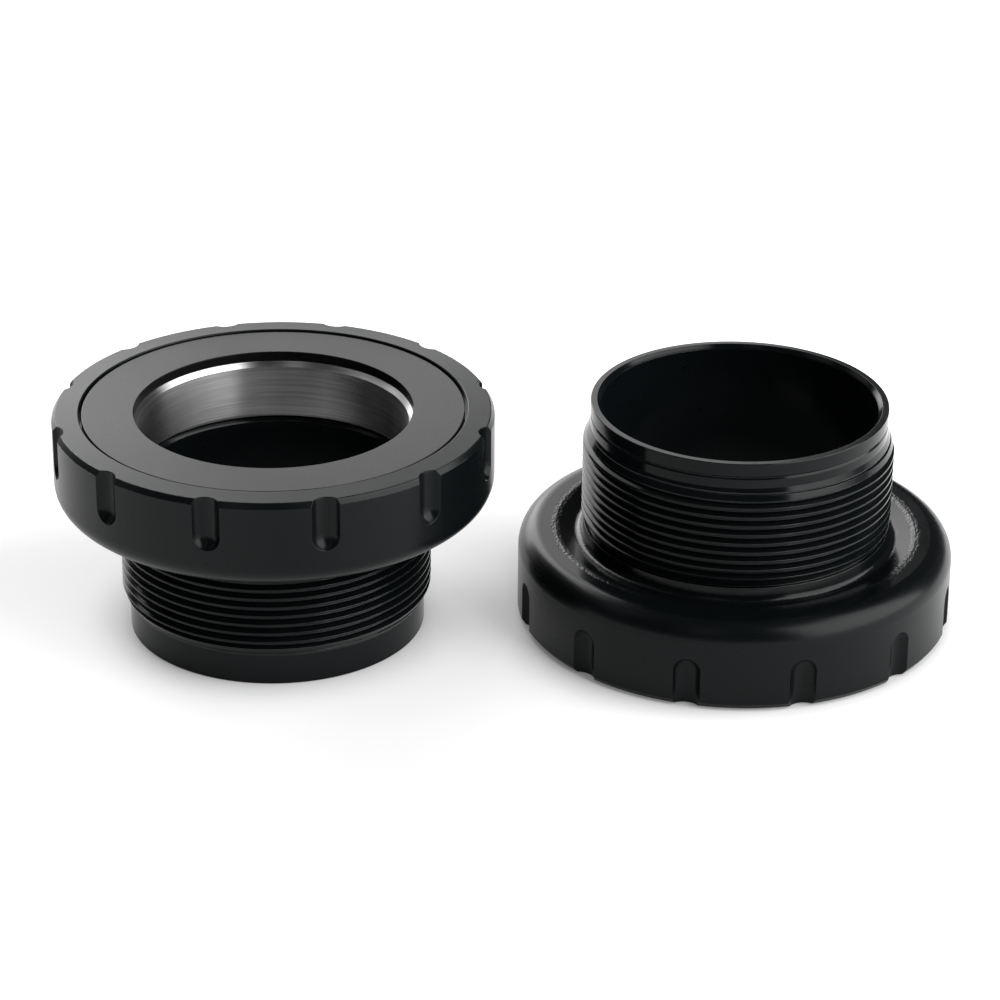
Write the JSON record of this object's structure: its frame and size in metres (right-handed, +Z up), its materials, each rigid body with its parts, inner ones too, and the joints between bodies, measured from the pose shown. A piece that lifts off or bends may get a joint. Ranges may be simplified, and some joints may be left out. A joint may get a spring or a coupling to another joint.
{
  "type": "bottom bracket",
  "caption": "Loose pair of external threaded bottom bracket cups with sealed bearings for a 30 mm spindle, one standing face up and one face down.",
  "frame": {"origin": "on the surface that both cups rest on, under the middle of the pair's bounding box", "axes": "+X from the left cup's axis side to the right cup's side, +Z up along both cup axes"},
  "size_m": [0.1008, 0.0516, 0.0259],
  "materials": {
    "anodised_black": "satin black anodised, turned",
    "cover_black": "satin black anodised, bead blasted",
    "bearing_steel": "ground",
    "ball_steel": "polished",
    "seal_rubber": "matt",
    "cage_plastic": "moulded nylon"
  },
  "bodies": {
    "left_cup": {"left_cup": "anodised_black", "left_bearing_outer_ring": "bearing_steel", "left_outboard_seal": "seal_rubber", "left_inboard_seal": "seal_rubber"},
    "left_spindle_race": {"left_bearing_inner_ring": "bearing_steel", "left_dust_cover": "cover_black"},
    "left_ball_row": {"left_ball_cage": "cage_plastic", "left_ball_01": "ball_steel", "left_ball_02": "ball_steel", "left_ball_03": "ball_steel", "left_ball_04": "ball_steel", "left_ball_05": "ball_steel", "left_ball_06": "ball_steel", "left_ball_07": "ball_steel", "left_ball_08": "ball_steel", "left_ball_09": "ball_steel", "left_ball_10": "ball_steel", "left_ball_11": "ball_steel", "left_ball_12": "ball_steel", "left_ball_13": "ball_steel", "left_ball_14": "ball_steel", "left_ball_15": "ball_steel", "left_ball_16": "ball_steel", "left_ball_17": "ball_steel", "left_ball_18": "ball_steel"},
    "right_cup": {"right_cup": "anodised_black", "right_bearing_outer_ring": "bearing_steel", "right_outboard_seal": "seal_rubber", "right_inboard_seal": "seal_rubber"},
    "right_spindle_race": {"right_bearing_inner_ring": "bearing_steel", "right_dust_cover": "cover_black"},
    "right_ball_row": {"right_ball_cage": "cage_plastic", "right_ball_01": "ball_steel", "right_ball_02": "ball_steel", "right_ball_03": "ball_steel", "right_ball_04": "ball_steel", "right_ball_05": "ball_steel", "right_ball_06": "ball_steel", "right_ball_07": "ball_steel", "right_ball_08": "ball_steel", "right_ball_09": "ball_steel", "right_ball_10": "ball_steel", "right_ball_11": "ball_steel", "right_ball_12": "ball_steel", "right_ball_13": "ball_steel", "right_ball_14": "ball_steel", "right_ball_15": "ball_steel", "right_ball_16": "ball_steel", "right_ball_17": "ball_steel", "right_ball_18": "ball_steel"}
  },
  "joints": [
    {"name": "left_bearing_spin", "type": "hinge", "parent": "left_cup", "child": "left_spindle_race", "pos_m": [-0.02587, -0.00131, 0.02111], "axis": [0, 0, 1], "continuous": true},
    {"name": "left_ball_row_spin", "type": "hinge", "parent": "left_cup", "child": "left_ball_row", "pos_m": [-0.02587, -0.00131, 0.02111], "axis": [0, 0, 1], "continuous": true},
    {"name": "right_bearing_spin", "type": "hinge", "parent": "right_cup", "child": "right_spindle_race", "pos_m": [0.02587, 0.00131, 0.00475], "axis": [0, 0, 1], "continuous": true},
    {"name": "right_ball_row_spin", "type": "hinge", "parent": "right_cup", "child": "right_ball_row", "pos_m": [0.02587, 0.00131, 0.00475], "axis": [0, 0, 1], "continuous": true},
    {"name": "right_cup_lift", "type": "slide", "parent": "left_cup", "child": "right_cup", "axis": [0, 0, 1], "range_m": [0, 0.04]}
  ],
  "couplings": [
    {"joint": "left_ball_row_spin", "follows": "left_bearing_spin", "ratio": 0.4514},
    {"joint": "right_ball_row_spin", "follows": "right_bearing_spin", "ratio": 0.4514}
  ]
}
